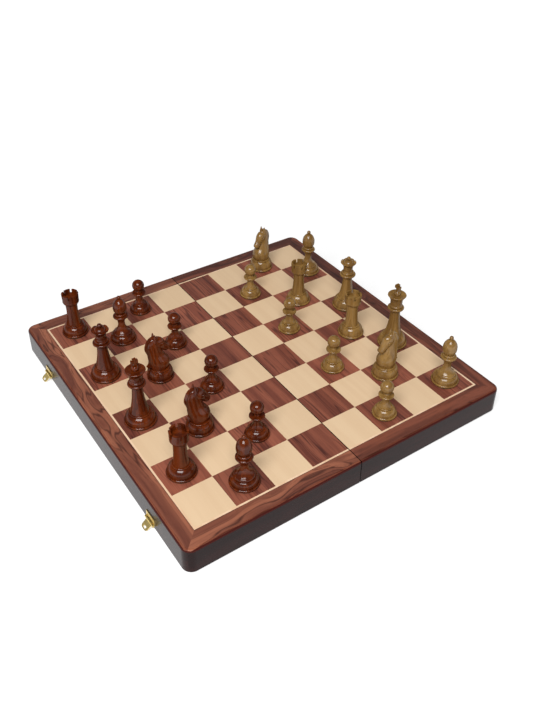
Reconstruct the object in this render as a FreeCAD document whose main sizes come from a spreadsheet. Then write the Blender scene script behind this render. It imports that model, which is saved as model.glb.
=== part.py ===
import FreeCAD, Part
import math
import os
from types import SimpleNamespace
import Sketcher

# Folding chess board whose two halves close into a storage box, with the chessmen that stand on it.
# Frame: X crosses the fold from the latch side to the keeper side, Y runs along the fold from the
# front edge to the rear edge, Z is up, and the lowest point of the hinges is at Z = 0.

# Driving dimensions in millimetres, and angles in degrees
DIMENSIONS = (
    # playing surface and case
    ("square", 43.0, "side of one square"),
    ("inlay_width", 2.4, "pale line round the squares"),
    ("border_width", 18.6, "from the inlay to the outside of the case"),
    ("half_height", 28.25, "height of one half, rim to playing surface"),
    ("rail_thickness", 9.0, "thickness of the side walls"),
    ("panel_thickness", 5.0, "plywood deck under the veneer"),
    ("panel_seat", 3.5, "how far the deck lies on the walls"),
    ("veneer_thickness", 0.8, "squares, inlay and border"),
    ("lining_thickness", 1.0, "felt in the storage well"),
    ("corner_radius", 10.0, "upright outer corners of the case"),
    ("edge_radius", 2.5, "rounding of the top edge"),
    ("lip_width", 0.5, "flat lip between the rounding and the border"),
    ("seam_gap", 0.8, "between the two halves when the board is open"),
    ("rim_gap", 0.3, "between the two rims when the box is closed"),
    # butt hinges
    ("hinge_spacing", 230.0, "between the middles of the two hinges"),
    ("hinge_length", 40.0, "along the fold"),
    ("leaf_width", 16.0, "from the hinge axis to the edge of a leaf"),
    ("leaf_thickness", 1.2, "sheet brass"),
    ("knuckle_diameter", 3.2, "outside of the hinge barrel"),
    ("hinge_pin_diameter", 1.6, "pin in the barrel"),
    ("knuckle_gap", 0.3, "end gap between two knuckles"),
    ("knuckle_clearance", 0.3, "round a knuckle that turns in its notch"),
    ("pin_clearance", 0.05, "round a pin in its bore"),
    # wood screws
    ("screw_diameter", 2.0, "shank"),
    ("screw_head_diameter", 3.8, "countersunk head"),
    ("screw_head_depth", 0.9, "height of the countersink"),
    ("screw_length", 7.0, "head to tip"),
    ("screw_tip", 2.0, "length of the point"),
    ("screw_slot", 0.6, "width of the driver slot"),
    ("screw_clearance", 0.05, "round a screw in its hole"),
    ("hinge_screw_pitch", 13.0, "between two screws of a leaf"),
    ("hinge_screw_height", 9.5, "from the hinge axis to the screws"),
    # latches
    ("latch_spacing", 250.0, "between the middles of the two latches"),
    ("latch_width", 16.0, "plate along the wall"),
    ("latch_plate_height", 7.5, "plate above its pivot"),
    ("latch_thickness", 0.8, "sheet brass"),
    ("latch_pivot_height", 4.75, "pivot above the rim"),
    ("latch_knuckle_diameter", 2.6, "curled end of the tongue"),
    ("latch_pin_diameter", 1.0, "pivot pin"),
    ("latch_curl", 2.7, "length of each curl of the plate"),
    ("tongue_length", 9.1, "from the pivot to the tip"),
    ("tongue_corner", 3.0, "rounded corners of the tip"),
    ("tongue_clearance", 0.3, "between the tongue and the wall"),
    ("tongue_rest_angle", 50.0, "outwards from hanging straight down"),
    ("window_width", 4.0, "hole in the tongue"),
    ("window_clearance", 0.3, "between the hole and the knob, up and down"),
    ("latch_screw_pitch", 9.0, "between two screws of a plate"),
    ("latch_screw_height", 4.7, "screws above the pivot"),
    ("keeper_width", 16.0, "keeper plate along the wall"),
    ("keeper_height", 9.0, "keeper plate above the rim"),
    ("keeper_screw_height", 6.2, "screws above the rim"),
    ("knob_diameter", 1.8, "keeper knob"),
    ("knob_reach", 4.0, "keeper knob out from the wall"),
    ("knob_offset", 2.0, "keeper knob from the hinge axis plane"),
    # details that all chessmen share
    ("felt_thickness", 1.0, "felt under a chessman"),
    ("felt_inset", 1.2, "felt inside the foot"),
    ("foot_height", 2.4, "rounded bead at the foot"),
    ("foot_bulge", 0.7, "how far the bead stands out"),
    ("groove_depth", 0.8, "groove above the foot"),
    ("ring_thickness", 1.6, "bead where the bowl meets the stem"),
    ("ring_overhang", 0.9, "how far that bead stands out from the stem"),
    ("collar_flare", 3.0, "height of the flare under a collar"),
    ("collar_thickness", 2.7, "height of the collar bead"),
    ("collar_step", 2.0, "how far the upper collar bead steps in"),
    ("crown_lip", 1.0, "rounded lip of a crown"),
    # king
    ("king_base", 33.7, "foot diameter"),
    ("king_bowl_height", 9.0, "from the groove to the ring"),
    ("king_ring", 22.6, "ring diameter"),
    ("king_stem_height", 31.5, "from the ring to the collar"),
    ("king_stem", 11.0, "stem diameter under the collar"),
    ("king_collar", 18.6, "collar diameter"),
    ("king_neck", 13.4, "neck diameter over the collar"),
    ("king_neck_height", 2.3, "from the collar to the crown"),
    ("king_crown", 20.6, "crown diameter"),
    ("king_crown_height", 10.1, "flare of the crown"),
    ("king_boss", 6.8, "boss under the cross"),
    ("king_boss_height", 5.0, "boss above the crown"),
    ("cross_height", 9.0, "cross above the boss"),
    ("cross_span", 7.0, "arm to arm"),
    ("cross_arm", 2.4, "width of an arm at the middle"),
    ("cross_flare", 0.7, "how much an arm widens to its end"),
    ("cross_thickness", 3.2, "front to back"),
    # queen
    ("queen_base", 33.0, "foot diameter"),
    ("queen_bowl_height", 9.0, "from the groove to the ring"),
    ("queen_ring", 22.0, "ring diameter"),
    ("queen_stem_height", 26.9, "from the ring to the collar"),
    ("queen_stem", 11.0, "stem diameter under the collar"),
    ("queen_collar", 19.0, "collar diameter"),
    ("queen_neck", 11.0, "neck diameter over the collar"),
    ("queen_neck_height", 3.4, "from the collar to the coronet"),
    ("queen_crown", 18.6, "coronet diameter"),
    ("queen_crown_height", 8.8, "flare of the coronet"),
    ("queen_dome", 12.4, "dome inside the coronet"),
    ("queen_dome_height", 3.4, "dome above the coronet floor"),
    ("queen_ball", 5.0, "ball on top"),
    ("scallop_diameter", 4.4, "dips in the coronet rim"),
    ("scallop_depth", 1.2, "depth of a dip"),
    # bishop
    ("bishop_base", 30.2, "foot diameter"),
    ("bishop_bowl_height", 6.6, "from the groove to the second tier"),
    ("bishop_tier", 21.0, "second tier diameter"),
    ("bishop_tier_height", 3.2, "second tier"),
    ("bishop_sweep", 17.0, "foot of the stem"),
    ("bishop_stem_height", 15.9, "from the tier to the collar"),
    ("bishop_stem", 10.0, "stem diameter under the collar"),
    ("bishop_collar", 17.2, "collar diameter"),
    ("bishop_neck", 9.6, "foot of the mitre"),
    ("bishop_mitre", 15.2, "widest part of the mitre"),
    ("bishop_mitre_rise", 7.8, "from the collar to the widest part"),
    ("bishop_mitre_height", 10.8, "from the widest part to the tip"),
    ("bishop_tip", 4.0, "mitre diameter under the ball"),
    ("bishop_ball", 4.6, "ball on top"),
    # rook
    ("rook_base", 30.2, "foot diameter"),
    ("rook_bowl_height", 8.8, "from the groove to the ring"),
    ("rook_ring", 18.8, "ring diameter"),
    ("rook_stem_height", 27.4, "from the ring to the tower"),
    ("rook_stem", 13.6, "stem diameter under the tower"),
    ("rook_tower", 18.4, "tower diameter"),
    ("rook_tower_flare", 0.8, "how much wider the tower is at its top"),
    ("rook_cup_height", 4.5, "rounded underside of the tower"),
    ("rook_wall_height", 8.8, "upright wall of the tower"),
    ("rook_wall", 2.3, "thickness of the battlement"),
    ("rook_hollow", 5.6, "depth inside the battlement"),
    ("crenel_width", 2.2, "gap in the battlement"),
    ("crenel_depth", 4.6, "depth of a gap"),
    # knight
    ("knight_base", 29.6, "foot diameter"),
    ("knight_bowl_height", 9.6, "from the groove to the ring"),
    ("knight_ring", 22.4, "ring diameter"),
    ("knight_head_height", 43.9, "ring to ear tip"),
    ("knight_mane", 4.6, "thickness of the mane"),
    ("knight_ear", 4.2, "foot of an ear"),
    ("knight_eye", 2.6, "diameter of the dimple at each eye"),
    # pawn
    ("pawn_base", 26.0, "foot diameter"),
    ("pawn_bowl_height", 6.8, "from the groove to the ring"),
    ("pawn_ring", 15.8, "ring diameter"),
    ("pawn_stem_height", 11.1, "from the ring to the collar"),
    ("pawn_stem", 8.0, "stem diameter under the collar"),
    ("pawn_collar", 15.0, "collar diameter"),
    ("pawn_neck", 8.4, "under the head"),
    ("pawn_neck_height", 3.0, "from the collar to the head"),
    ("pawn_head", 14.2, "ball head"),
)

HALF_SQUARES = 4
ROWS = 8
KNUCKLES = 5
HINGE_SCREWS = 3
LATCH_SCREWS = 2
CRENELS = 6
SCALLOPS = 8
OVERRUN = 2.0
BEAD = 0.3
QUARTER_ROUND = math.tan(math.pi / 8) / 2
# A ball standing on a neck half its width: how much of it shows, and the bulge of its side
BALL_NECK = 0.5
BALL_SHARE = (1 + math.cos(math.pi / 6)) / 2
BALL_BULGE = math.tan(math.radians(150 / 4)) / 2
SIDES = {"left": -1, "right": 1}
ENDS = {"front": -1, "rear": 1}

# Knight's head, carved to one pattern: every length is a share of its height.
# Oval sections of the neck: height, middle, half length, half width
KNIGHT_NECK = (
    (-0.010, -0.01, 0.215, 0.210),
    (0.080, 0.00, 0.245, 0.228),
    (0.215, -0.01, 0.260, 0.228),
    (0.375, -0.07, 0.215, 0.178),
    (0.535, -0.11, 0.190, 0.141),
    (0.690, -0.13, 0.180, 0.123),
    (0.830, -0.12, 0.140, 0.100),
    (0.905, -0.11, 0.065, 0.055),
)
# Oval sections of the face from the cheeks to the nose: distance along the face, half depth, half width
KNIGHT_FACE = (
    (0.000, 0.137, 0.114),
    (0.091, 0.160, 0.123),
    (0.205, 0.137, 0.105),
    (0.319, 0.109, 0.082),
    (0.410, 0.096, 0.082),
    (0.456, 0.055, 0.050),
)
KNIGHT_FACE_START = (-0.07, 0.785)
KNIGHT_FACE_DROP = 45
# Side view of the mane, and the bulge to the next point
KNIGHT_MANE = (
    (-0.114, 0.170, 0),
    (-0.114, 0.580, 0),
    (-0.070, 0.860, 0),
    (-0.114, 0.916, 0.16),
    (-0.300, 0.760, 0.12),
    (-0.310, 0.490, -0.04),
    (-0.255, 0.260, -0.12),
    (-0.330, 0.090, 0.30),
    (-0.310, 0.070, 0),
)
KNIGHT_EAR = (-0.09, 0.055, 0.85)
KNIGHT_EYE = (0.06, 0.118, 0.73)

# Chessmen as they stand in the photo: kind, name, place in squares from the middle of the front square on
# the latch side, and heading in degrees
DARK_MEN = (
    ("king", "dark_king", -0.01, 2.95, 90),
    ("queen", "dark_queen", -0.00, 4.92, 0),
    ("rook", "dark_rook_front", 0.00, 0.97, 15),
    ("rook", "dark_rook_rear", 0.07, 7.03, 0),
    ("bishop", "dark_bishop_front", 1.00, -0.03, 0),
    ("bishop", "dark_bishop_rear", 1.01, 6.03, 0),
    ("knight", "dark_knight_front", 1.02, 1.94, 0),
    ("knight", "dark_knight_rear", 1.13, 4.12, 0),
    ("pawn", "dark_pawn_1", 2.02, 1.03, 0),
    ("pawn", "dark_pawn_2", 2.00, 3.03, 0),
    ("pawn", "dark_pawn_3", 2.08, 5.06, 0),
    ("pawn", "dark_pawn_4", 1.99, 6.97, 0),
)
LIGHT_MEN = (
    ("king", "light_king", 6.93, 1.93, 0),
    ("queen", "light_queen", 6.98, 3.98, 0),
    ("rook", "light_rook_front", 6.28, 2.88, 0),
    ("rook", "light_rook_rear", 5.98, 4.91, 15),
    ("bishop", "light_bishop_front", 7.01, 0.01, 0),
    ("bishop", "light_bishop_rear", 7.12, 6.01, 0),
    ("knight", "light_knight_front", 5.91, 1.04, 180),
    ("knight", "light_knight_rear", 6.06, 6.97, 200),
    ("pawn", "light_pawn_1", 4.94, -0.07, 0),
    ("pawn", "light_pawn_2", 4.96, 1.98, 0),
    ("pawn", "light_pawn_3", 4.98, 3.94, 0),
    ("pawn", "light_pawn_4", 5.00, 5.92, 0),
)


class Size:
    """A number together with the spreadsheet formula that gives it."""

    def __init__(self, value, text):
        self.value = value
        self.text = text

    def __add__(self, other):
        other = sized(other)
        return Size(self.value + other.value, f"({self.text} + {other.text})")

    def __sub__(self, other):
        other = sized(other)
        return Size(self.value - other.value, f"({self.text} - {other.text})")

    def __mul__(self, factor):
        factor = sized(factor)
        return Size(self.value * factor.value, f"({self.text} * {factor.text})")

    def __truediv__(self, divisor):
        divisor = sized(divisor)
        return Size(self.value / divisor.value, f"({self.text} / {divisor.text})")

    def __radd__(self, other):
        return sized(other) + self

    def __rsub__(self, other):
        return sized(other) - self

    def __rmul__(self, factor):
        return self * factor

    def __neg__(self):
        return Size(-self.value, f"(0 - {self.text})")


def sized(item):
    """The item as a Size."""
    if isinstance(item, Size):
        return item
    return Size(float(item), f"({float(item)})")


def make_sheet():
    """The spreadsheet of driving dimensions, and a Size for each."""
    sheet = doc.addObject("Spreadsheet::Sheet", "dims")
    for row, (name, value, note) in enumerate(DIMENSIONS, start=1):
        sheet.set(f"A{row}", note)
        sheet.set(f"B{row}", str(value))
        sheet.setAlias(f"B{row}", name)
    return SimpleNamespace(**{name: Size(value, f"dims.{name}") for name, value, _ in DIMENSIONS})


# Small helpers that make document objects and bind their sizes to the sheet

def bind(item, prop, size):
    item.setExpression(prop, sized(size).text)


def put(item, corner):
    for axis, place in zip("xyz", corner):
        bind(item, f"Placement.Base.{axis}", place)


def block(label, x, y, z):
    """A box between two places on each axis."""
    item = doc.addObject("Part::Box", label)
    for prop, (low, high) in zip(("Length", "Width", "Height"), (x, y, z)):
        bind(item, prop, high - sized(low))
    put(item, (x[0], y[0], z[0]))
    return item


def rod(label, diameter, start, length, axis):
    """A round bar from a point along X or Y."""
    item = doc.addObject("Part::Cylinder", label)
    bind(item, "Radius", diameter / 2)
    bind(item, "Height", length)
    turn = {"X": (FreeCAD.Vector(0, 1, 0), 90), "Y": (FreeCAD.Vector(1, 0, 0), -90)}[axis]
    item.Placement = FreeCAD.Placement(FreeCAD.Vector(), FreeCAD.Rotation(*turn))
    put(item, start)
    return item


def group(label, links):
    item = doc.addObject("Part::Compound", label)
    item.Links = links
    return item


def placed(label, links, place, axis=(0, 0, 1), angle=0):
    """Shapes set down together at a place, turned about an axis."""
    item = group(label, links)
    turn = FreeCAD.Rotation(FreeCAD.Vector(*axis), sized(angle).value)
    item.Placement = FreeCAD.Placement(FreeCAD.Vector(), turn)
    put(item, place)
    if isinstance(angle, Size):
        bind(item, "Placement.Rotation.Angle", angle)
    return item


def fuse(label, shapes):
    item = doc.addObject("Part::MultiFuse", label)
    item.Shapes = shapes
    return item


def common(label, first, second):
    item = doc.addObject("Part::Common", label)
    item.Base = first
    item.Tool = second
    return item


def cut(label, base, tools):
    item = doc.addObject("Part::Cut", label)
    item.Base = base
    item.Tool = tools[0] if len(tools) == 1 else group(f"{label}_cutters", tools)
    return item


def outline(body, label, role, points, lift=None):
    """A closed sketch through points: x, y and the bulge to the next point, an arc's rise over its chord."""
    sketch = body.newObject("Sketcher::SketchObject", label)
    plane = next(item for item in body.Origin.OriginFeatures if item.Role == role)
    sketch.AttachmentSupport = [(plane, "")]
    sketch.MapMode = "FlatFace"
    if lift is not None:
        bind(sketch, "AttachmentOffset.Base.z", lift)
    corners = [(sized(x), sized(y), sized(bulge)) for x, y, bulge in points]
    spots = [FreeCAD.Vector(x.value, y.value, 0) for x, y, _ in corners]
    geometry = []
    constraints = []
    formulas = []
    for index, (x, y, bulge) in enumerate(corners):
        after = (index + 1) % len(corners)
        chord = spots[after] - spots[index]
        if bulge.value:
            rise = FreeCAD.Vector(chord.y, -chord.x, 0) * bulge.value
            geometry.append(Part.Arc(spots[index], (spots[index] + spots[after]) / 2 + rise, spots[after]))
        else:
            geometry.append(Part.LineSegment(spots[index], spots[after]))
        first = 2 if bulge.value < 0 else 1
        next_first = 2 if corners[after][2].value < 0 else 1
        constraints.append(Sketcher.Constraint("DistanceX", index, first, x.value))
        formulas.append(x.text)
        constraints.append(Sketcher.Constraint("DistanceY", index, first, y.value))
        formulas.append(y.text)
        constraints.append(Sketcher.Constraint("Coincident", index, 3 - first, after, next_first))
        formulas.append(None)
        if bulge.value:
            rise_share = bulge if bulge.value > 0 else -bulge
            across = corners[after][0] - x
            upward = corners[after][1] - y
            share = sized(1) / (8 * rise_share) + rise_share / 2
            constraints.append(Sketcher.Constraint("Radius", index, chord.Length * share.value))
            formulas.append(f"sqrt({across.text}^2 + {upward.text}^2) * {share.text}")
    sketch.addGeometry(geometry)
    sketch.addConstraint(constraints)
    for index, formula in enumerate(formulas):
        if formula:
            sketch.setExpression(f"Constraints[{index}]", formula)
    return sketch


def rectangle(x, y):
    return ((x[0], y[0], 0), (x[1], y[0], 0), (x[1], y[1], 0), (x[0], y[1], 0))


def extrude(body, kind, sketch, length, both_ways=False, reverse=False):
    """A Pad or Pocket of a sketch."""
    feature = body.newObject(f"PartDesign::{kind}", f"{sketch.Label}_{kind.lower()}")
    feature.Profile = sketch
    if both_ways:
        feature.SideType = "Symmetric"
    feature.Reversed = reverse
    bind(feature, "Length", length)
    return feature


def revolve(label, points):
    """A body turned about Z from its half profile."""
    body = doc.addObject("PartDesign::Body", label)
    sketch = outline(body, f"{label}_profile", "XZ_Plane", points)
    feature = body.newObject("PartDesign::Revolution", f"{label}_turning")
    feature.Profile = sketch
    feature.ReferenceAxis = (sketch, ["V_Axis"])
    feature.Angle = 360
    return body


def round_edges(body, label, radius, chosen):
    """A fillet on the edges of the body's tip that the test chooses."""
    doc.recompute()
    base = body.Tip
    names = [f"Edge{n}" for n, edge in enumerate(base.Shape.Edges, start=1) if chosen(edge)]
    feature = body.newObject("PartDesign::Fillet", label)
    feature.Base = (base, names)
    bind(feature, "Radius", radius)
    return feature


def repeat(body, feature, count, angle):
    """A feature repeated about the upright axis of its body."""
    pattern = body.newObject("PartDesign::PolarPattern", f"{feature.Label}_pattern")
    pattern.Originals = [feature]
    pattern.Axis = (next(item for item in body.Origin.OriginFeatures if item.Role == "Z_Axis"), [""])
    pattern.Angle = angle
    pattern.Occurrences = count
    body.Tip = pattern


def near(first, second):
    return abs(first - second) < 1e-4


def span(sign, low, high):
    """The X range of something between two distances from the fold, on one half."""
    if sign > 0:
        return sized(low), sized(high)
    return -sized(high), -sized(low)


def along(way, low, high):
    """The Y range between two distances from the middle, towards the front or the rear."""
    if way > 0:
        return sized(low), sized(high)
    return -sized(high), -sized(low)


doc = FreeCAD.newDocument("folding_chess_board")
dims = make_sheet()
doc.recompute()

# Places that several pieces share, from the driving dimensions
SEAM = dims.seam_gap / 2
GRID_EDGE = HALF_SQUARES * dims.square
INLAY_EDGE = GRID_EDGE + dims.inlay_width
HALF_SIDE = INLAY_EDGE + dims.border_width
VENEER_EDGE = HALF_SIDE - dims.edge_radius - dims.lip_width
VENEER_CORNER = dims.corner_radius - dims.edge_radius - dims.lip_width
WELL_EDGE = HALF_SIDE - dims.rail_thickness
DECK_EDGE = WELL_EDGE + dims.panel_seat
HINGE_AXIS = dims.knuckle_diameter / 2
RIM = HINGE_AXIS + dims.rim_gap / 2
TOP = RIM + dims.half_height
VENEER_BASE = TOP - dims.veneer_thickness
DECK_BASE = VENEER_BASE - dims.panel_thickness
LATCH_AXIS_OUT = HALF_SIDE + dims.latch_knuckle_diameter / 2 + dims.tongue_clearance
LATCH_AXIS = RIM + dims.latch_pivot_height
KNOB_HEIGHT = HINGE_AXIS + dims.knob_offset
TONGUE_WIDTH = dims.latch_width - 2 * (dims.latch_curl + dims.knuckle_gap)


# Case of one half: four walls cut from one moulded frame, deck, lining and veneers

def mitre(label, sign, end, inner, outer):
    """The region of a front or rear strip, with its outer end cut at 45 degrees."""
    item = doc.addObject("Part::Wedge", label)
    wide = span(sign, SEAM - OVERRUN, outer)
    narrow = span(sign, SEAM - OVERRUN, inner)
    first, second = (wide, narrow) if end < 0 else (narrow, wide)
    low, high = along(end, inner, outer)
    floor = RIM - OVERRUN
    ceiling = TOP + OVERRUN
    values = {"Xmin": first[0], "Xmax": first[1], "X2min": second[0], "X2max": second[1],
              "Ymin": low, "Ymax": high,
              "Zmin": floor, "Zmax": ceiling, "Z2min": floor, "Z2max": ceiling}
    for prop, value in values.items():
        bind(item, prop, value)
    return item


def half_plate(sign, start, edge, corner):
    """Outline of one half from the fold to the outer edge, with its two outer corners rounded."""
    flat = edge - corner
    points = ((start, -edge, 0), (flat, -edge, QUARTER_ROUND), (edge, -flat, 0), (edge, flat, QUARTER_ROUND),
              (flat, edge, 0), (start, edge, 0))
    return [(sign * sized(x), sign * sized(y), bulge) for x, y, bulge in points]


def recess(body, label, shape, depth):
    """A pocket down from the playing surface."""
    return extrude(body, "Pocket", outline(body, label, "XY_Plane", shape, TOP), depth)


def moulded_frame(side, sign):
    """All four walls as one piece, with rounded corners, a recess for the veneer and a seat for the deck."""
    body = doc.addObject("PartDesign::Body", f"{side}_frame")
    case = half_plate(sign, SEAM, HALF_SIDE, dims.corner_radius)
    extrude(body, "Pad", outline(body, f"{side}_case", "XY_Plane", case, RIM), dims.half_height)
    beyond = SEAM - OVERRUN
    round_edges(body, f"{side}_top_edge", dims.edge_radius, outer_top)
    veneer = half_plate(sign, beyond, VENEER_EDGE, VENEER_CORNER)
    seat = rectangle(span(sign, beyond, DECK_EDGE), (-DECK_EDGE, DECK_EDGE))
    well = rectangle(span(sign, SEAM + dims.rail_thickness, WELL_EDGE), (-WELL_EDGE, WELL_EDGE))
    recess(body, f"{side}_veneer_recess", veneer, dims.veneer_thickness)
    recess(body, f"{side}_deck_seat", seat, dims.veneer_thickness + dims.panel_thickness)
    recess(body, f"{side}_well", well, dims.half_height + OVERRUN)
    return body


def outer_top(edge):
    """Whether an edge lies in the playing surface away from the fold."""
    return near(edge.BoundBox.ZMin, TOP.value) and abs(edge.CenterOfMass.x) > dims.seam_gap.value


def walls(side, sign):
    """The four walls of one half, mitred at the outer corners and butted at the fold."""
    frame = moulded_frame(side, sign)
    heights = (RIM - OVERRUN, TOP + OVERRUN)
    outer = HALF_SIDE + OVERRUN
    ends = {end: mitre(f"{side}_{end}_wall_region", sign, way, WELL_EDGE, outer) for end, way in ENDS.items()}
    side_region = block(f"{side}_side_region", span(sign, WELL_EDGE, outer), (-outer, outer), heights)
    seam_region = block(f"{side}_seam_region", span(sign, SEAM - OVERRUN, SEAM + dims.rail_thickness),
                        (-WELL_EDGE, WELL_EDGE), heights)
    rails = {end: common(f"{side}_{end}_rail", frame, region) for end, region in ends.items()}
    strip = common(f"{side}_side_strip", frame, side_region)
    rails["side"] = cut(f"{side}_mitred_side", strip, list(ends.values()))
    rails["seam"] = common(f"{side}_plain_seam", frame, seam_region)
    return rails


def checks(side, sign):
    """The squares of one half, by tone; the square at the front end of the latch side is light."""
    squares = {"dark": [], "light": []}
    for column in range(HALF_SQUARES):
        inner = column * dims.square if column else SEAM
        board_column = HALF_SQUARES + column if sign > 0 else HALF_SQUARES - 1 - column
        for row in range(ROWS):
            front = (row - HALF_SQUARES) * dims.square
            tile = block(f"{side}_square_{column}_{row}", span(sign, inner, (column + 1) * dims.square),
                         (front, front + dims.square), (VENEER_BASE, TOP))
            squares["dark" if (board_column + row) % 2 else "light"].append(tile)
    return [group(f"{side}_{tone}_squares", tiles) for tone, tiles in squares.items()]


def inlay(side, sign):
    """Pale strips round three sides of the squares."""
    heights = (VENEER_BASE, TOP)
    outer = span(sign, GRID_EDGE, INLAY_EDGE)
    strips = [block(f"{side}_inlay_side", outer, (-INLAY_EDGE, INLAY_EDGE), heights)]
    for end, way in ENDS.items():
        strip = along(way, GRID_EDGE, INLAY_EDGE)
        strips.append(block(f"{side}_inlay_{end}", span(sign, SEAM, GRID_EDGE), strip, heights))
    return group(f"{side}_inlay", strips)


def border(side, sign):
    """Three mitred border strips with rounded outer corners."""
    body = doc.addObject("PartDesign::Body", f"{side}_border_sheet")
    edge = half_plate(sign, SEAM, VENEER_EDGE, VENEER_CORNER)
    sheet = outline(body, f"{side}_border_edge", "XY_Plane", edge, VENEER_BASE)
    extrude(body, "Pad", sheet, dims.veneer_thickness)
    hole = rectangle(span(sign, SEAM - OVERRUN, INLAY_EDGE), (-INLAY_EDGE, INLAY_EDGE))
    recess(body, f"{side}_border_hole", hole, dims.veneer_thickness + OVERRUN)
    outer = HALF_SIDE + OVERRUN
    ends = {end: mitre(f"{side}_{end}_strip_region", sign, way, INLAY_EDGE, outer)
            for end, way in ENDS.items()}
    strips = [common(f"{side}_{end}_strip", body, region) for end, region in ends.items()]
    strips.append(cut(f"{side}_side_strip_veneer", body, list(ends.values())))
    return group(f"{side}_border", strips)


def deck(side, sign):
    """Deck, felt lining and the veneered playing surface of one half."""
    panel = block(f"{side}_panel", span(sign, SEAM, DECK_EDGE), (-DECK_EDGE, DECK_EDGE),
                  (DECK_BASE, VENEER_BASE))
    lining = block(f"{side}_felt_lining", span(sign, SEAM + dims.rail_thickness, WELL_EDGE),
                   (-WELL_EDGE, WELL_EDGE), (DECK_BASE - dims.lining_thickness, DECK_BASE))
    return [panel, lining, *checks(side, sign), inlay(side, sign), border(side, sign)]


# Wood screws: one pattern and the hole it needs, set down where they are wanted

def screw_patterns():
    shank = dims.screw_diameter / 2
    head = dims.screw_head_diameter / 2
    neck = dims.screw_head_depth
    length = dims.screw_length
    blank = revolve("screw_blank", ((0, 0, 0), (head, 0, 0), (shank, neck, 0),
                                    (shank, length - dims.screw_tip, 0), (0, length, 0)))
    slot = block("screw_driver_slot", (-head - OVERRUN, head + OVERRUN),
                 (-dims.screw_slot / 2, dims.screw_slot / 2), (-OVERRUN, neck / 2))
    room = dims.screw_clearance
    hole = revolve("screw_hole", ((0, -OVERRUN, 0), (head + room, -OVERRUN, 0), (head + room, 0, 0),
                                  (shank + room, neck, 0), (shank + room, length + room, 0),
                                  (0, length + room, 0)))
    return cut("screw", blank, [slot]), hole


def screws(label, spots, way):
    """Screws with their heads at the spots, driven along X one way or the other, and their holes."""
    fitted = []
    holes = []
    for number, spot in enumerate(spots):
        fitted.append(placed(f"{label}_{number}", [screw], spot, (0, 1, 0), way * 90))
        holes.append(placed(f"{label}_hole_{number}", [screw_hole], spot, (0, 1, 0), way * 90))
    return group(label, fitted), holes


def rows_about(middle, pitch, count):
    """Evenly spaced places about a middle."""
    return [middle + pitch * (n - (count - 1) / 2) for n in range(count)]


# Two butt hinges let into the seam rails

def hinge_leaf(label, sign, middle, holes):
    """One leaf with its share of the knuckles; the left leaf has the outer ones."""
    start = middle - dims.hinge_length / 2
    pitch = dims.hinge_length / KNUCKLES
    plate = block(f"{label}_plate", span(sign, SEAM, SEAM + dims.leaf_thickness),
                  (start, start + dims.hinge_length), (HINGE_AXIS, HINGE_AXIS + dims.leaf_width))
    knuckles = []
    cutters = [rod(f"{label}_bore", dims.hinge_pin_diameter + 2 * dims.pin_clearance,
                   (0, start - OVERRUN, HINGE_AXIS), dims.hinge_length + 2 * OVERRUN, "Y")]
    notches = []
    for index in range(KNUCKLES):
        low = start + pitch * index
        if (index % 2 == 0) == (sign < 0):
            knuckles.append(rod(f"{label}_knuckle_{index}", dims.knuckle_diameter,
                                (0, low + dims.knuckle_gap / 2, HINGE_AXIS), pitch - dims.knuckle_gap, "Y"))
        else:
            notches.append(rod(f"{label}_notch_{index}", dims.knuckle_diameter + 2 * dims.knuckle_clearance,
                               (0, low, HINGE_AXIS), pitch, "Y"))
    notched = cut(f"{label}_notched", plate, notches)
    return cut(label, fuse(f"{label}_joined", [notched] + knuckles), cutters + holes)


def hinges(rails):
    """Leaves, pins and screws; the seam rails get their mortises."""
    middles = rows_about(sized(0), dims.hinge_spacing, 2)
    nodes = []
    for side, sign in SIDES.items():
        leaves = []
        mortises = []
        spots = []
        for middle in middles:
            spots.append([(sign * SEAM, y, HINGE_AXIS + dims.hinge_screw_height)
                          for y in rows_about(middle, dims.hinge_screw_pitch, HINGE_SCREWS)])
        fitted, holes = screws(f"{side}_hinge_screws", [spot for row in spots for spot in row], sign)
        for number, middle in enumerate(middles):
            start = middle - dims.hinge_length / 2
            own = holes[number * HINGE_SCREWS:(number + 1) * HINGE_SCREWS]
            leaves.append(hinge_leaf(f"{side}_leaf_{number}", sign, middle, own))
            pocket = block(f"{side}_mortise_{number}", span(sign, SEAM - OVERRUN, SEAM + dims.leaf_thickness),
                           (start, start + dims.hinge_length), (RIM - OVERRUN, HINGE_AXIS + dims.leaf_width))
            relief = rod(f"{side}_relief_{number}", dims.knuckle_diameter + 2 * dims.knuckle_clearance,
                         (0, start - dims.knuckle_clearance, HINGE_AXIS),
                         dims.hinge_length + 2 * dims.knuckle_clearance, "Y")
            mortises.append(fuse(f"{side}_hinge_room_{number}", [pocket, relief] + own))
        nodes += [group(f"{side}_hinge_leaves", leaves), fitted]
        rails[side]["seam"] = cut(f"{side}_seam_rail", rails[side]["seam"], mortises)
    pins = [rod(f"hinge_pin_{n}", dims.hinge_pin_diameter, (0, middle - dims.hinge_length / 2, HINGE_AXIS),
                dims.hinge_length, "Y") for n, middle in enumerate(middles)]
    return nodes + [group("hinge_pins", pins)]


# Two latches on the left side rail and their keepers on the right one

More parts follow.
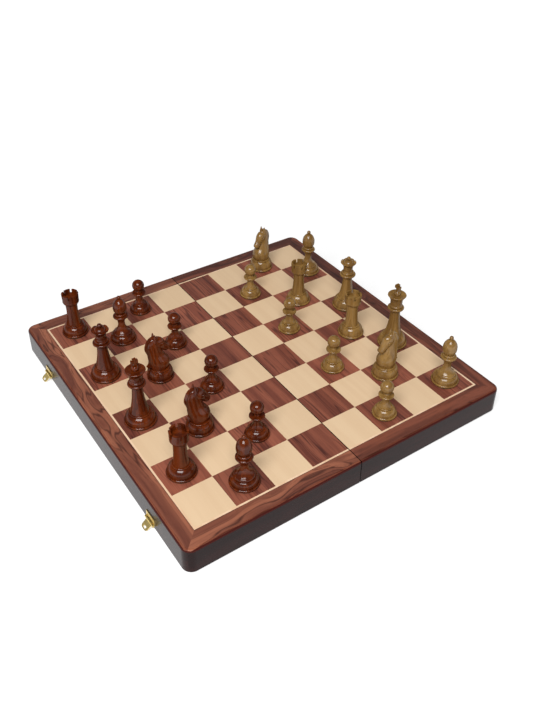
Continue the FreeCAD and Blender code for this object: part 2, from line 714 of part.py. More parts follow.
def latch_plate(label, middle, holes):
    """Wall plate with a curled knuckle at each end of its lower edge."""
    half = dims.latch_width / 2
    gap_half = half - dims.latch_curl
    wall = span(-1, HALF_SIDE, HALF_SIDE + dims.latch_thickness)
    plate = block(f"{label}_sheet", wall, (middle - half, middle + half),
                  (LATCH_AXIS, LATCH_AXIS + dims.latch_plate_height))
    notch_top = LATCH_AXIS + dims.latch_knuckle_diameter / 2 + dims.tongue_clearance
    notch = block(f"{label}_notch", (wall[0] - OVERRUN, wall[1] + OVERRUN),
                  (middle - gap_half, middle + gap_half), (LATCH_AXIS - OVERRUN, notch_top))
    notched = cut(f"{label}_notched", plate, [notch])
    curls = [rod(f"{label}_curl_{n}", dims.latch_knuckle_diameter, (-LATCH_AXIS_OUT, low, LATCH_AXIS),
                 dims.latch_curl, "Y") for n, low in enumerate((middle - half, middle + gap_half))]
    bore = rod(f"{label}_bore", dims.latch_pin_diameter + 2 * dims.pin_clearance,
               (-LATCH_AXIS_OUT, middle - half - OVERRUN, LATCH_AXIS), dims.latch_width + 2 * OVERRUN, "Y")
    return cut(label, fuse(f"{label}_joined", [notched] + curls), [bore] + holes)


def tongue_pattern():
    """Swinging tongue, hanging straight down from its pivot at the origin."""
    body = doc.addObject("PartDesign::Body", "tongue_blade")
    half = TONGUE_WIDTH / 2
    tip = -dims.tongue_length
    corner = dims.tongue_corner
    shape = ((-half, 0, 0), (-half, tip + corner, QUARTER_ROUND), (corner - half, tip, 0),
             (half - corner, tip, QUARTER_ROUND), (half, tip + corner, 0), (half, 0, 0))
    sheet = outline(body, "tongue_sheet", "YZ_Plane", shape)
    extrude(body, "Pad", sheet, dims.latch_thickness, both_ways=True)
    middle = HINGE_AXIS - LATCH_AXIS - dims.knob_offset
    rise = dims.knob_diameter / 2 + dims.window_clearance
    hole = rectangle((-dims.window_width / 2, dims.window_width / 2), (middle - rise, middle + rise))
    window = outline(body, "tongue_window", "YZ_Plane", hole)
    extrude(body, "Pocket", window, dims.latch_thickness + OVERRUN, both_ways=True)
    curl = rod("tongue_curl", dims.latch_knuckle_diameter, (0, -half, 0), TONGUE_WIDTH, "Y")
    bore = rod("tongue_bore", dims.latch_pin_diameter + 2 * dims.pin_clearance, (0, -half - OVERRUN, 0),
               TONGUE_WIDTH + 2 * OVERRUN, "Y")
    return cut("tongue", fuse("tongue_joined", [body, curl]), [bore])


def keeper(label, middle, holes):
    """Plate with a round knob that the window of the tongue drops over."""
    half = dims.keeper_width / 2
    plate = block(f"{label}_sheet", (HALF_SIDE, HALF_SIDE + dims.latch_thickness),
                  (middle - half, middle + half), (RIM + dims.rim_gap, RIM + dims.keeper_height))
    knob = rod(f"{label}_knob", dims.knob_diameter, (HALF_SIDE, middle, KNOB_HEIGHT),
               dims.knob_reach - dims.knob_diameter / 2, "X")
    dome = doc.addObject("Part::Sphere", f"{label}_dome")
    bind(dome, "Radius", dims.knob_diameter / 2)
    put(dome, (HALF_SIDE + dims.knob_reach - dims.knob_diameter / 2, middle, KNOB_HEIGHT))
    return cut(label, fuse(f"{label}_joined", [plate, knob, dome]), holes)


def latches(rails):
    """Plates, pins, tongues, keepers and their screws; the side rails get the screw holes."""
    middles = rows_about(sized(0), dims.latch_spacing, 2)
    plate_face = -(HALF_SIDE + dims.latch_thickness)
    plate_screws, plate_holes = screws(
        "latch_screws", [(plate_face, y, LATCH_AXIS + dims.latch_screw_height) for middle in middles
                         for y in rows_about(middle, dims.latch_screw_pitch, LATCH_SCREWS)], 1)
    keeper_screws, keeper_holes = screws(
        "keeper_screws", [(-plate_face, y, RIM + dims.keeper_screw_height) for middle in middles
                          for y in rows_about(middle, dims.latch_screw_pitch, LATCH_SCREWS)], -1)
    plates = []
    keepers = []
    pins = []
    for number, middle in enumerate(middles):
        own = slice(number * LATCH_SCREWS, (number + 1) * LATCH_SCREWS)
        plates.append(latch_plate(f"latch_plate_{number}", middle, plate_holes[own]))
        keepers.append(keeper(f"keeper_{number}", middle, keeper_holes[own]))
        pins.append(rod(f"latch_pin_{number}", dims.latch_pin_diameter,
                        (-LATCH_AXIS_OUT, middle - dims.latch_width / 2, LATCH_AXIS), dims.latch_width, "Y"))
    tongue = tongue_pattern()
    tongues = [placed(f"{end}_latch_tongue", [tongue], (-LATCH_AXIS_OUT, middle, LATCH_AXIS), (0, 1, 0),
                      dims.tongue_rest_angle) for end, middle in zip(ENDS, middles)]
    rails["left"]["side"] = cut("left_side_rail", rails["left"]["side"], plate_holes)
    rails["right"]["side"] = cut("right_side_rail", rails["right"]["side"], keeper_holes)
    return [group("latch_plates", plates), group("latch_pins", pins), *tongues, plate_screws,
            group("keepers", keepers), keeper_screws]


# Chessmen, each standing with its felt at Z = 0 on its own axis

def foot(base, bowl_height, shoulder, shoulder_bulge=0.14):
    """Profile from the axis over the foot bead and groove to the top of the bowl, and the height reached."""
    rim = base / 2 - dims.foot_bulge
    floor = dims.felt_thickness
    groove = floor + dims.foot_height
    bead = dims.foot_bulge / dims.foot_height
    bowl = groove + bowl_height
    return [(0, floor, 0), (rim, floor, bead), (rim, groove, 0),
            (rim - dims.groove_depth, groove, shoulder_bulge), (shoulder, bowl, 0)], bowl


def ringed_stem(base, bowl_height, ring, stem, stem_height, sweep):
    """Foot, bowl, ring and a hollow-sided stem, and the height reached."""
    ring_edge = ring / 2 - dims.ring_thickness * BEAD
    points, floor = foot(base, bowl_height, ring_edge + dims.groove_depth)
    low = floor + dims.ring_thickness
    high = low + stem_height
    points += [(ring_edge, floor, BEAD), (ring_edge, low, 0), (ring_edge - dims.ring_overhang, low, -sweep),
               (stem / 2, high, -0.15)]
    return points, high


def double_collar(points, floor, collar, neck):
    """Flare, collar bead and a smaller bead above it, and the height reached."""
    edge = collar / 2 - dims.collar_thickness * BEAD
    inner = edge - dims.collar_step
    first = floor + dims.collar_flare
    second = first + dims.collar_thickness
    third = second + dims.collar_thickness
    points += [(edge, first, BEAD), (edge, second, 0), (inner, second, BEAD), (inner, third, 0),
               (neck / 2, third, -0.1)]
    return third


def ball(points, floor, diameter):
    """A ball on a neck, closed on the axis."""
    points += [(diameter * BALL_NECK / 2, floor, BALL_BULGE), (0, floor + diameter * BALL_SHARE, 0)]


def king():
    points, z = ringed_stem(dims.king_base, dims.king_bowl_height, dims.king_ring, dims.king_stem,
                            dims.king_stem_height, 0.035)
    z = double_collar(points, z, dims.king_collar, dims.king_neck)
    neck_top = z + dims.king_neck_height
    rim = neck_top + dims.king_crown_height
    boss = rim + dims.king_boss_height
    points += [(dims.king_neck / 2, neck_top, -0.1), (dims.king_crown / 2, rim, 0.3),
               (dims.king_crown / 2 - dims.crown_lip, rim + dims.crown_lip, -0.05),
               (dims.king_boss / 2, rim, 0.15), (dims.cross_arm, boss, 0), (0, boss, 0)]
    body = revolve("king", points)
    arm = dims.cross_arm / 2
    end = arm + dims.cross_flare
    reach = dims.cross_span / 2
    middle = boss + dims.cross_height - reach
    low = boss - dims.crown_lip
    high = boss + dims.cross_height
    half_cross = [(end, low), (arm, middle - arm), (reach, middle - end), (reach, middle + end),
                  (arm, middle + arm), (end, high)]
    shape = [(x, up, 0) for x, up in half_cross] + [(-x, up, 0) for x, up in reversed(half_cross)]
    extrude(body, "Pad", outline(body, "king_cross", "YZ_Plane", shape), dims.cross_thickness, both_ways=True)
    return body


def queen():
    points, z = ringed_stem(dims.queen_base, dims.queen_bowl_height, dims.queen_ring, dims.queen_stem,
                            dims.queen_stem_height, 0.035)
    z = double_collar(points, z, dims.queen_collar, dims.queen_neck)
    neck_top = z + dims.queen_neck_height
    rim = neck_top + dims.queen_crown_height
    dome = rim + dims.queen_dome_height
    points += [(dims.queen_neck / 2, neck_top, -0.12), (dims.queen_crown / 2, rim, 0.3),
               (dims.queen_crown / 2 - dims.crown_lip, rim + dims.crown_lip, 0),
               (dims.queen_dome / 2, rim, 0.2)]
    ball(points, dome, dims.queen_ball)
    body = revolve("queen", points)
    reach = dims.queen_crown / 2
    half = dims.scallop_diameter / 2
    top = rim + dims.crown_lip
    sag = dims.scallop_depth / dims.scallop_diameter
    dip = ((-half, top + OVERRUN, 0), (-half, top, sag), (half, top, 0), (half, top + OVERRUN, 0))
    sketch = outline(body, "queen_scallop", "YZ_Plane", dip, dims.queen_dome / 2)
    pocket = extrude(body, "Pocket", sketch, reach, reverse=True)
    repeat(body, pocket, SCALLOPS, 360)
    return body


def bishop():
    points, z = foot(dims.bishop_base, dims.bishop_bowl_height, dims.bishop_tier / 2 + dims.groove_depth)
    tier = z + dims.bishop_tier_height
    collar = tier + dims.bishop_stem_height
    points += [(dims.bishop_tier / 2, z, 0.18), (dims.bishop_sweep / 2, tier, -0.16),
               (dims.bishop_stem / 2, collar, -0.15)]
    z = double_collar(points, collar, dims.bishop_collar, dims.bishop_neck)
    widest = z + dims.bishop_mitre_rise
    tip = widest + dims.bishop_mitre_height
    points[-1] = (dims.bishop_neck / 2, z, 0.12)
    points += [(dims.bishop_mitre / 2, widest, 0.14), (dims.bishop_tip / 2, tip, 0)]
    ball(points, tip, dims.bishop_ball)
    return revolve("bishop", points)


def rook():
    points, z = ringed_stem(dims.rook_base, dims.rook_bowl_height, dims.rook_ring, dims.rook_stem,
                            dims.rook_stem_height, 0.03)
    cup = z + dims.rook_cup_height
    top = cup + dims.rook_wall_height
    outer = dims.rook_tower / 2 + dims.rook_tower_flare / 2
    points[-1] = (dims.rook_stem / 2, z, 0.2)
    points += [(dims.rook_tower / 2, cup, 0), (outer, top, 0), (outer - dims.rook_wall, top, 0),
               (outer - dims.rook_wall, top - dims.rook_hollow, 0), (0, top - dims.rook_hollow, 0)]
    body = revolve("rook", points)
    gap = rectangle((-dims.crenel_width / 2, dims.crenel_width / 2), (top - dims.crenel_depth, top + OVERRUN))
    sketch = outline(body, "rook_crenel", "YZ_Plane", gap)
    pocket = extrude(body, "Pocket", sketch, 2 * outer + OVERRUN, both_ways=True)
    repeat(body, pocket, CRENELS // 2, 180 - 360 / CRENELS)
    return body


def ovals(label, sections, tilt):
    """A smooth shape through oval sections: place along X, height, half length, half width."""
    rings = []
    for number, (x, z, half_length, half_width) in enumerate(sections):
        ring = doc.addObject("Part::Ellipse", f"{label}_{number}")
        ring.Placement = FreeCAD.Placement(FreeCAD.Vector(), FreeCAD.Rotation(FreeCAD.Vector(0, 1, 0), tilt))
        bind(ring, "MajorRadius", half_length)
        bind(ring, "MinorRadius", half_width)
        put(ring, (x, 0, z))
        rings.append(ring)
    shape = doc.addObject("Part::Loft", label)
    shape.Sections = rings
    shape.Solid = True
    return shape


def knight_head(floor):
    """A horse's neck and face with mane, ears and eyes."""
    size = dims.knight_head_height
    upright = [(x, up, half, side) for up, x, half, side in KNIGHT_NECK]
    drop = math.radians(KNIGHT_FACE_DROP)
    x, up = KNIGHT_FACE_START
    sloping = [(x + way * math.cos(drop), up - way * math.sin(drop), half, side)
               for way, half, side in KNIGHT_FACE]
    carved = []
    for label, sections, tilt in (("neck", upright, 0), ("face", sloping, KNIGHT_FACE_DROP - 90)):
        sizes = [(size * x, floor + size * up, size * half, size * side) for x, up, half, side in sections]
        carved.append(ovals(f"knight_{label}", sizes, tilt))
    mane = doc.addObject("PartDesign::Body", "knight_mane")
    crest = [(size * x, floor + size * up, bulge) for x, up, bulge in KNIGHT_MANE]
    extrude(mane, "Pad", outline(mane, "knight_crest", "XZ_Plane", crest), dims.knight_mane, both_ways=True)
    ears = []
    eyes = []
    for name, way in (("near", -1), ("far", 1)):
        ear = doc.addObject("Part::Cone", f"knight_{name}_ear")
        bind(ear, "Radius1", dims.knight_ear / 2)
        bind(ear, "Radius2", dims.knight_ear / 8)
        bind(ear, "Height", size * (1 - KNIGHT_EAR[2]))
        put(ear, (size * KNIGHT_EAR[0], way * size * KNIGHT_EAR[1], floor + size * KNIGHT_EAR[2]))
        ears.append(ear)
        eye = doc.addObject("Part::Sphere", f"knight_{name}_eye")
        bind(eye, "Radius", dims.knight_eye / 2)
        put(eye, (size * KNIGHT_EYE[0], way * size * KNIGHT_EYE[1], floor + size * KNIGHT_EYE[2]))
        eyes.append(eye)
    return cut("knight_head", fuse("knight_carving", carved + [mane] + ears), eyes)


def knight():
    ring_edge = dims.knight_ring / 2 - dims.ring_thickness * BEAD
    points, z = foot(dims.knight_base, dims.knight_bowl_height, ring_edge + dims.groove_depth)
    low = z + dims.ring_thickness
    points += [(ring_edge, z, BEAD), (ring_edge, low, 0), (0, low, 0)]
    return fuse("knight", [revolve("knight_foot", points), knight_head(low)])


def pawn():
    points, z = ringed_stem(dims.pawn_base, dims.pawn_bowl_height, dims.pawn_ring, dims.pawn_stem,
                            dims.pawn_stem_height, 0.1)
    flare = z + dims.collar_flare * 0.7
    bead = flare + dims.collar_thickness * 0.75
    edge = dims.pawn_collar / 2
    neck = bead + dims.pawn_neck_height
    points += [(edge, flare, BEAD), (edge, bead, 0), (dims.pawn_neck / 2, bead, 0)]
    ball(points, neck, dims.pawn_head)
    return revolve("pawn", points)


def felt(kind, base):
    item = doc.addObject("Part::Cylinder", f"{kind}_felt")
    bind(item, "Radius", base / 2 - dims.felt_inset)
    bind(item, "Height", dims.felt_thickness)
    return item


def chessmen():
    """Every chessman on its square, each made of a turned body and its felt."""
    patterns = {"king": king, "queen": queen, "bishop": bishop, "rook": rook, "knight": knight, "pawn": pawn}
    bases = {kind: getattr(dims, f"{kind}_base") for kind in patterns}
    pieces = {kind: [make(), felt(kind, bases[kind])] for kind, make in patterns.items()}
    men = []
    middle = (ROWS - 1) / 2
    for kind, name, column, row, heading in DARK_MEN + LIGHT_MEN:
        place = (dims.square * (column - middle), dims.square * (row - middle), TOP)
        men.append(placed(name, pieces[kind], place, (0, 0, 1), heading))
    return men


screw, screw_hole = screw_patterns()
rails = {side: walls(side, sign) for side, sign in SIDES.items()}
nodes = [item for side, sign in SIDES.items() for item in deck(side, sign)]
nodes += hinges(rails)
nodes += latches(rails)
nodes += [item for side in SIDES for item in rails[side].values()]
nodes += chessmen()
doc.recompute()

faults = [item.Label for item in doc.Objects if "Invalid" in item.State or "Error" in item.State]
faults += [item.Label for item in nodes if item.Shape.isNull() or not item.Shape.isValid()]
if faults:
    raise RuntimeError(f"not built: {faults}")
os.makedirs("parts", exist_ok=True)
for item in nodes:
    item.Shape.exportStep(f"parts/{item.Label}.step")
print(len(nodes), "nodes,", sum(len(item.Shape.Solids) for item in nodes), "solids")
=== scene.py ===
import math
from collections import namedtuple

import bpy
from mathutils import Matrix, Vector

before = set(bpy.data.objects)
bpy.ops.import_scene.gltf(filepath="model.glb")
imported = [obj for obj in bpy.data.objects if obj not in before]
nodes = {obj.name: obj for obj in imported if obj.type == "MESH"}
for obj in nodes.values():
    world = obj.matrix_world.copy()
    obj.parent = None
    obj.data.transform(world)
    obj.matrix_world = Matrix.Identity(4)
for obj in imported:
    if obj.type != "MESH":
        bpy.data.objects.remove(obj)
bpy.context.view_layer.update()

# Parts of the names of nodes
SIDES = ("left", "right")
RAILS = ("side", "front", "rear", "seam")
BRASS_WORDS = ("hinge", "latch", "keeper")

# Sizes of the part that the materials follow, in metres
SQUARE = 0.043
PLAYING_SURFACE = 0.030
OUTER_EDGE = 0.193
EDGE_BAND = 0.0025
INLAY_EDGE = 0.1744
INLAY_LINE = 0.00045
SEAM_FACE = 0.00045
MAN_FELT = 0.00098
PLIES_PER_METRE = 1000.0

# Figure of the woods: its width, the length and height of its waves in metres, and the growth lines in it
Grain = namedtuple("Grain", "width reach wave lines")
CALM = Grain(0.011, 0.038, 0.0006, 11.0)
WAVY = Grain(0.011, 0.080, 0.0060, 7.0)
FINE = Grain(0.008, 0.038, 0.0010, 8.0)
ALONG_GRAIN = {"X": (0.035, 1.0, 1.0), "Y": (1.0, 0.035, 1.0), "Z": (1.0, 1.0, 0.035)}
LINE_WIDTH = 0.2
PATCHES_PER_METRE = 60.0
PORES_PER_METRE = 1100.0
PORE_SHARE = 0.45
PORE_DEPTH = 0.0002
FIBRES_PER_METRE = 2500.0


def srgb(red, green, blue):
    """A screen colour as scene-linear values with full alpha."""
    def linear(value):
        value /= 255
        return value / 12.92 if value <= 0.04045 else ((value + 0.055) / 1.055) ** 2.4
    return (linear(red), linear(green), linear(blue), 1.0)


# Colours of the woods, and how much of its line colour a wood shows
Tones = namedtuple("Tones", "pale deep line line_share")
ROSEWOOD = Tones(srgb(148, 84, 63), srgb(118, 62, 47), srgb(62, 26, 22), 0.75)
MAPLE = Tones(srgb(225, 195, 158), srgb(221, 190, 153), srgb(200, 164, 122), 0.06)
INLAY_MAPLE = Tones(srgb(238, 205, 172), srgb(226, 188, 152), srgb(196, 150, 112), 0.2)
BORDERS = {
    "left": Tones(srgb(156, 95, 70), srgb(110, 60, 45), srgb(66, 31, 23), 0.85),
    "right": Tones(srgb(131, 73, 54), srgb(82, 41, 31), srgb(50, 22, 16), 0.8),
}
WALLS = Tones(srgb(46, 21, 20), srgb(33, 14, 14), srgb(19, 8, 8), 0.5)
PLYWOOD = Tones(srgb(214, 186, 148), srgb(196, 164, 122), srgb(160, 122, 84), 0.3)
DARK_MEN = Tones(srgb(100, 41, 11), srgb(71, 25, 7), srgb(36, 11, 4), 0.45)
LIGHT_MEN = Tones(srgb(144, 110, 59), srgb(118, 86, 42), srgb(88, 61, 27), 0.35)
# Painted shade: near-black for the faces inside the narrow gap at the fold seam
SEAM_PAINTED_SHADE = srgb(16, 7, 6)


class Look:
    """A material with short calls for its nodes."""

    def __init__(self, name, roughness, metallic=0.0, coat=0.0, coat_roughness=0.05, ior=1.5):
        self.material = bpy.data.materials.new(name)
        self.material.use_nodes = True
        self.tree = self.material.node_tree
        self.shader = self.tree.nodes["Principled BSDF"]
        self.set("Roughness", roughness)
        self.set("Metallic", metallic)
        self.set("Coat Weight", coat)
        self.set("Coat Roughness", coat_roughness)
        self.set("IOR", ior)
        self.place = self.node("ShaderNodeTexCoord").outputs["Object"]

    def set(self, name, value):
        self.feed(self.shader.inputs[name], value)

    def feed(self, socket, value):
        if isinstance(value, bpy.types.NodeSocket):
            self.tree.links.new(value, socket)
        else:
            socket.default_value = value

    def node(self, kind, inputs=None, **settings):
        made = self.tree.nodes.new(kind)
        for name, value in settings.items():
            setattr(made, name, value)
        for key, value in (inputs or {}).items():
            self.feed(made.inputs[key], value)
        return made

    def calc(self, operation, first, second=0.0):
        return self.node("ShaderNodeMath", {0: first, 1: second}, operation=operation).outputs[0]

    def size_of(self, value):
        return self.calc("ABSOLUTE", value)

    def vector(self, operation, first, second):
        return self.node("ShaderNodeVectorMath", {0: first, 1: second}, operation=operation).outputs[0]

    def axes(self):
        return self.node("ShaderNodeSeparateXYZ", {0: self.place}).outputs

    def point(self, x, y, z):
        return self.node("ShaderNodeCombineXYZ", {0: x, 1: y, 2: z}).outputs[0]

    def noise(self, vector, scale, detail=2.0, roughness=0.5):
        inputs = {"Vector": vector, "Scale": scale, "Detail": detail, "Roughness": roughness}
        return self.node("ShaderNodeTexNoise", inputs).outputs["Fac"]

    def random(self, vector):
        made = self.node("ShaderNodeTexWhiteNoise", {"Vector": vector}, noise_dimensions="3D")
        return made.outputs["Value"], made.outputs["Color"]

    def span(self, value, low, high, to_low=0.0, to_high=1.0):
        inputs = {0: value, 1: low, 2: high, 3: to_low, 4: to_high}
        return self.node("ShaderNodeMapRange", inputs, interpolation_type="SMOOTHSTEP").outputs[0]

    def blend(self, share, first, second, how="MIX"):
        inputs = {0: share, 6: first, 7: second}
        return self.node("ShaderNodeMix", inputs, data_type="RGBA", blend_type=how).outputs[2]

    def paint(self, colour):
        """Sets the colour, with near-black painted shade on the faces that meet at the seam, inside the narrow
        gap between the halves.
        """
        # Painted shade on the faces within the seam gap
        seam = self.calc("LESS_THAN", self.size_of(self.axes()[0]), SEAM_FACE)
        self.set("Base Color", self.blend(seam, colour, SEAM_PAINTED_SHADE))

    def bump(self, height, strength, distance):
        made = self.node("ShaderNodeBump", {"Strength": strength, "Distance": distance, "Height": height})
        self.set("Normal", made.outputs["Normal"])

    def lay_on(self, names):
        for name in names:
            mesh = nodes[name].data
            mesh.materials.clear()
            mesh.materials.append(self.material)


def wood(look, tones, grain, along, seed=(0.0, 0.0, 0.0)):
    """Colour of a figured wood with growth lines and pores, and the depth of its pores."""
    bend = look.span(look.noise(look.place, 1 / grain.reach, 1.0), 0.2, 0.8, -grain.wave, grain.wave)
    bent = look.vector("ADD", look.place, look.point(bend, bend, bend))
    drawn = look.vector("ADD", look.vector("MULTIPLY", bent, ALONG_GRAIN[along]), seed)
    figure = look.noise(drawn, 1 / grain.width)
    rings = look.calc("FRACT", look.calc("MULTIPLY", figure, grain.lines))
    line = look.span(look.size_of(look.calc("SUBTRACT", rings, 0.5)), 0.0, LINE_WIDTH, 1.0, 0.0)
    patch = look.span(look.noise(drawn, PATCHES_PER_METRE, 1.0), 0.36, 0.54, 0.15, 1.0)
    pore = look.span(look.noise(drawn, PORES_PER_METRE, roughness=0.6), 0.52, 0.72)
    ground = look.blend(look.span(figure, 0.35, 0.65), tones.deep, tones.pale)
    line_share = look.calc("MULTIPLY", look.calc("MULTIPLY", line, patch), tones.line_share)
    lined = look.blend(line_share, ground, tones.line)
    pore_share = look.calc("MULTIPLY", pore, PORE_SHARE * tones.line_share)
    return look.blend(pore_share, lined, tones.line), pore


def strip_wood(look, tones):
    """Wood whose grain follows each strip of a mitred frame."""
    x, y, _ = look.axes()
    across = look.calc("SUBTRACT", look.size_of(x), look.size_of(y))
    on_side = look.calc("GREATER_THAN", across, 0.0)
    front, side = (wood(look, tones, WAVY, along) for along in ("X", "Y"))
    pore = look.node("ShaderNodeMix", {0: on_side, 2: front[1], 3: side[1]}).outputs[0]
    return look.blend(on_side, front[0], side[0]), pore


def squares_look(name, tones, spread):
    """Veneer squares, each with its own figure and a level that differs by up to the spread."""
    look = Look(name, 0.45, coat=0.12, coat_roughness=0.25)
    scaled = look.vector("MULTIPLY", look.place, (1 / SQUARE, 1 / SQUARE, 0.0))
    tone, seed = look.random(look.node("ShaderNodeVectorMath", {0: scaled}, operation="FLOOR").outputs[0])
    colour, pore = wood(look, tones, CALM, "Y", seed)
    level = look.span(tone, 0.0, 1.0, 1.0 - spread, 1.0 + spread)
    look.paint(look.blend(1.0, colour, look.point(level, level, level), "MULTIPLY"))
    look.bump(pore, 0.03, -PORE_DEPTH)
    return look


def border_look(side):
    look = Look(f"{side}_rosewood_border", 0.42, coat=0.2, coat_roughness=0.25)
    colour, pore = strip_wood(look, BORDERS[side])
    look.paint(colour)
    look.bump(pore, 0.1, -PORE_DEPTH)
    return look


def case_look(side):
    """Dark lacquered walls, with the border's wood on the flat top and a dark red line on the rounded edge."""
    look = Look(f"{side}_lacquered_case", 0.22, ior=1.21)
    top, pore = strip_wood(look, BORDERS[side])
    wall = strip_wood(look, WALLS)[0]
    x, y, height = look.axes()
    depth = look.calc("SUBTRACT", PLAYING_SURFACE, height)
    reach = look.calc("MAXIMUM", look.size_of(x), look.size_of(y))
    lip = look.span(reach, OUTER_EDGE - 0.7 * EDGE_BAND, OUTER_EDGE - 0.4 * EDGE_BAND)
    rounding = look.calc("MAXIMUM", lip, look.span(depth, 0.2 * EDGE_BAND, 0.45 * EDGE_BAND))
    edge = look.blend(rounding, top, srgb(66, 24, 20))
    look.paint(look.blend(look.span(depth, 0.8 * EDGE_BAND, EDGE_BAND), edge, wall))
    look.bump(pore, 0.05, -PORE_DEPTH)
    return look


def inlay_look():
    """Pale line with a thin dark line on its border side."""
    look = Look("inlay_maple", 0.4, coat=0.35, coat_roughness=0.22)
    colour, pore = wood(look, INLAY_MAPLE, FINE, "Y")
    x, y, _ = look.axes()
    reach = look.calc("MAXIMUM", look.size_of(x), look.size_of(y))
    line = look.calc("GREATER_THAN", reach, INLAY_EDGE - INLAY_LINE)
    look.paint(look.blend(line, colour, srgb(70, 36, 28)))
    look.bump(pore, 0.08, PORE_DEPTH)
    return look


def man_look(name, tones, coat, gloss):
    """Lacquered turned wood with upright grain, and felt under the foot."""
    look = Look(name, 0.5, coat=coat, coat_roughness=gloss)
    look.set("Specular IOR Level", 0.0)
    look.set("Coat IOR", 1.9)
    colour, pore = wood(look, tones, FINE, "Z")
    felt = look.calc("LESS_THAN", look.axes()[2], PLAYING_SURFACE + MAN_FELT)
    fuzz = look.noise(look.place, FIBRES_PER_METRE, roughness=0.7)
    green = look.blend(fuzz, srgb(16, 44, 28), srgb(34, 78, 50))
    look.set("Base Color", look.blend(felt, colour, green))
    look.bump(pore, 0.06, PORE_DEPTH)
    return look


def felt_look():
    look = Look("green_felt", 0.95)
    fuzz = look.noise(look.place, FIBRES_PER_METRE, 3.0, 0.7)
    nap = look.noise(look.place, PATCHES_PER_METRE, 3.0)
    colour = look.blend(fuzz, srgb(14, 48, 30), srgb(38, 92, 58))
    look.set("Base Color", look.blend(look.span(nap, 0.3, 0.7, 0.0, 0.35), colour, srgb(24, 62, 40)))
    look.set("Sheen Weight", 0.4)
    look.set("Sheen Roughness", 0.5)
    look.bump(fuzz, 0.5, 0.0004)
    return look


def brass_look():
    """Brass with faint clouds and fine scratches along the walls."""
    look = Look("polished_brass", 0.22, metallic=1.0)
    cloud = look.noise(look.place, 220.0, 3.0, 0.6)
    scratch = look.noise(look.vector("MULTIPLY", look.place, (1.0, 0.06, 1.0)), 2600.0, roughness=0.6)
    look.set("Base Color", look.blend(cloud, srgb(222, 190, 108), srgb(248, 228, 160)))
    look.set("Roughness", look.span(scratch, 0.3, 0.7, 0.3, 0.44))
    look.bump(scratch, 0.05, 0.0001)
    return look


def plywood_look():
    """Deck of thin plies, seen only in the storage wells and at the fold."""
    look = Look("birch_plywood", 0.6)
    ply = look.calc("FRACT", look.calc("MULTIPLY", look.axes()[2], PLIES_PER_METRE))
    colour, pore = wood(look, PLYWOOD, WAVY, "Y")
    look.paint(look.blend(look.calc("GREATER_THAN", ply, 0.5), colour, srgb(176, 142, 102)))
    look.bump(pore, 0.15, PORE_DEPTH)
    return look


# Materials on the CAD nodes
def both(piece):
    return [f"{side}_{piece}" for side in SIDES]


def named(*starts):
    return [name for name in nodes if name.startswith(starts)]


squares_look("rosewood_squares", ROSEWOOD, 0.12).lay_on(both("dark_squares"))
squares_look("maple_squares", MAPLE, 0.02).lay_on(both("light_squares"))
for side in SIDES:
    border_look(side).lay_on([f"{side}_border"])
    case_look(side).lay_on([f"{side}_{rail}_rail" for rail in RAILS])
inlay_look().lay_on(both("inlay"))
plywood_look().lay_on(both("panel"))
felt_look().lay_on(both("felt_lining"))
brass_look().lay_on([name for name in nodes if any(word in name for word in BRASS_WORDS)])
man_look("dark_men_wood", DARK_MEN, coat=0.27, gloss=0.13).lay_on(named("dark_"))
man_look("light_men_wood", LIGHT_MEN, coat=0.38, gloss=0.18).lay_on(named("light_"))

# Camera as fitted to the photo: angles in degrees, lengths in squares, focal length in pixels
AZIMUTH, ELEVATION, ROLL = -34.344, 34.378, 0.5
LOOK_RIGHT, LOOK_UP, DISTANCE = 0.458, 1.729, 21.043
FOCAL_PIXELS = 804.407
FRAME_PIXELS = 720
CENTRE_RISE_PIXELS = 70
SENSOR_WIDTH = 36

# Floor: half its side and its drop under the part in metres, its greys, and its glow near and far away
FLOOR_HALF = 12.0
FLOOR_DROP = 0.0002
FLOOR_GREYS = ((0.58, 0.58, 0.58, 1), (0.62, 0.62, 0.62, 1))
GLOW_FROM, GLOW_TO = 0.25, 0.9
GLOW_NEAR, GLOW_FAR = 0.5, 1.0
SEAM_STRIP = 0.003

# World: strength at the horizon and overhead for the light, and at a wall's top and above it for reflections
SOFT_LIGHT = (0.05, 0.4)
SOFT_LIGHT_HEIGHTS = (0.0, 0.9)
REFLECTED = (1.0, 0.12)
REFLECTED_HEIGHTS = (0.1, 0.35)
WHITE = (1, 1, 1, 1)


def direction(azimuth, elevation):
    """From the middle of the board to a place at these angles in degrees."""
    turn, rise = math.radians(azimuth), math.radians(elevation)
    return Vector((math.sin(turn) * math.cos(rise), -math.cos(turn) * math.cos(rise), math.sin(rise)))


def add_camera():
    turn, roll = math.radians(AZIMUTH), math.radians(ROLL)
    back = direction(AZIMUTH, ELEVATION)
    level = Vector((math.cos(turn), math.sin(turn), 0.0))
    upright = back.cross(level)
    right = math.cos(roll) * level + math.sin(roll) * upright
    up = math.cos(roll) * upright - math.sin(roll) * level
    offset = right * LOOK_RIGHT + up * LOOK_UP + back * DISTANCE
    camera = bpy.data.objects.new("camera", bpy.data.cameras.new("camera"))
    camera.matrix_world = Matrix((right, up, back)).transposed().to_4x4()
    camera.location = offset * SQUARE + Vector((0, 0, PLAYING_SURFACE))
    camera.data.sensor_width = SENSOR_WIDTH
    camera.data.lens = FOCAL_PIXELS / FRAME_PIXELS * SENSOR_WIDTH
    camera.data.shift_y = -CENTRE_RISE_PIXELS / FRAME_PIXELS
    bpy.context.scene.collection.objects.link(camera)
    bpy.context.scene.camera = camera


def add_softbox(name, azimuth, elevation, distance, size, watts):
    """A rectangular soft light that faces the middle of the board."""
    away = direction(azimuth, elevation)
    lamp = bpy.data.lights.new(name, "AREA")
    lamp.shape = "RECTANGLE"
    lamp.size, lamp.size_y = size
    lamp.energy = watts
    item = bpy.data.objects.new(name, lamp)
    item.location = away * distance
    item.rotation_euler = (-away).to_track_quat("-Z", "Y").to_euler()
    bpy.context.scene.collection.objects.link(item)


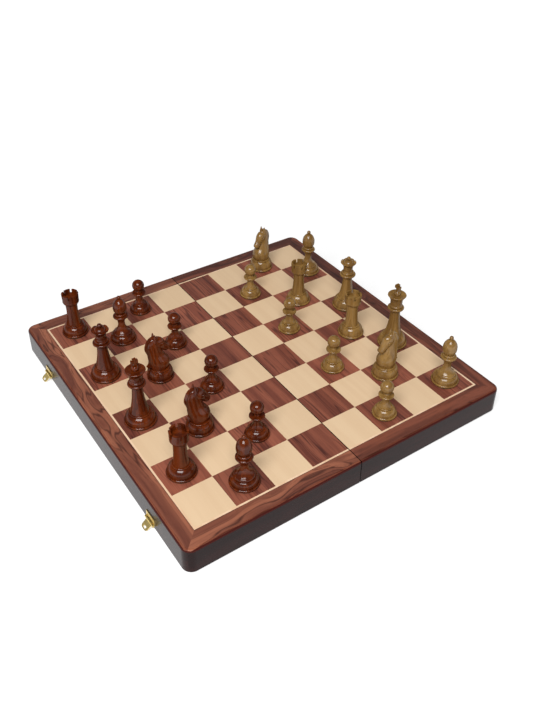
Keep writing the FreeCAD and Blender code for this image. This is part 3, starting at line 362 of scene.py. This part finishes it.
def floor_look():
    """Pale grey that the camera and reflections see as white, apart from the strip under the seam."""
    look = Look("pale_floor", 0.9)
    look.set("Specular IOR Level", 0.1)
    look.set("Base Color", look.blend(look.noise(look.place, 3.0), *FLOOR_GREYS))
    look.set("Emission Color", WHITE)
    away = look.node("ShaderNodeVectorMath", {0: look.place}, operation="LENGTH").outputs["Value"]
    path = look.node("ShaderNodeLightPath").outputs
    mirrored = look.calc("MAXIMUM", path["Is Glossy Ray"], path["Is Transmission Ray"])
    seen = look.calc("MAXIMUM", path["Is Camera Ray"], mirrored)
    glow = look.calc("MULTIPLY", seen, look.span(away, GLOW_FROM, GLOW_TO, GLOW_NEAR, GLOW_FAR))
    x, y, _ = look.axes()
    beside_seam = look.calc("GREATER_THAN", look.size_of(x), SEAM_STRIP)
    past_board = look.calc("GREATER_THAN", look.size_of(y), OUTER_EDGE - SEAM_STRIP)
    look.set("Emission Strength", look.calc("MULTIPLY", glow, look.calc("MAXIMUM", beside_seam, past_board)))
    return look


def add_floor():
    """A wide floor that keeps the part's shadow."""
    corners = [(x * FLOOR_HALF, y * FLOOR_HALF, 0) for x, y in ((-1, -1), (1, -1), (1, 1), (-1, 1))]
    mesh = bpy.data.meshes.new("floor")
    mesh.from_pydata(corners, [], [(0, 1, 2, 3)])
    mesh.materials.append(floor_look().material)
    floor = bpy.data.objects.new("floor", mesh)
    floor.location.z = -FLOOR_DROP
    bpy.context.scene.collection.objects.link(floor)


def add_world():
    """Soft light from above: the camera sees white, and reflections see a white wall under a dark ceiling."""
    world = bpy.data.worlds.new("studio")
    bpy.context.scene.world = world
    world.use_nodes = True
    tree = world.node_tree
    background = tree.nodes["Background"]
    background.inputs["Color"].default_value = WHITE
    axes = tree.nodes.new("ShaderNodeSeparateXYZ")
    tree.links.new(tree.nodes.new("ShaderNodeTexCoord").outputs["Generated"], axes.inputs[0])
    path = tree.nodes.new("ShaderNodeLightPath").outputs

    def by_height(heights, strengths):
        made = tree.nodes.new("ShaderNodeMapRange")
        for key, value in enumerate(heights + strengths, 1):
            made.inputs[key].default_value = value
        tree.links.new(axes.outputs["Z"], made.inputs[0])
        return made.outputs[0]

    def choice(ray, strength):
        made = tree.nodes.new("ShaderNodeMix")
        made.inputs[3].default_value = 1.0
        tree.links.new(path[ray], made.inputs[0])
        tree.links.new(strength, made.inputs[2])
        return made

    mirrored = choice("Is Glossy Ray", by_height(SOFT_LIGHT_HEIGHTS, SOFT_LIGHT))
    tree.links.new(by_height(REFLECTED_HEIGHTS, REFLECTED), mirrored.inputs[3])
    seen_through = choice("Is Transmission Ray", mirrored.outputs[0])
    seen = choice("Is Camera Ray", seen_through.outputs[0])
    tree.links.new(seen.outputs[0], background.inputs["Strength"])


add_camera()
add_floor()
add_world()
add_softbox("key_softbox", azimuth=-44, elevation=50, distance=2.0, size=(1.25, 0.8), watts=41.0)
bpy.context.scene.view_settings.view_transform = "Standard"
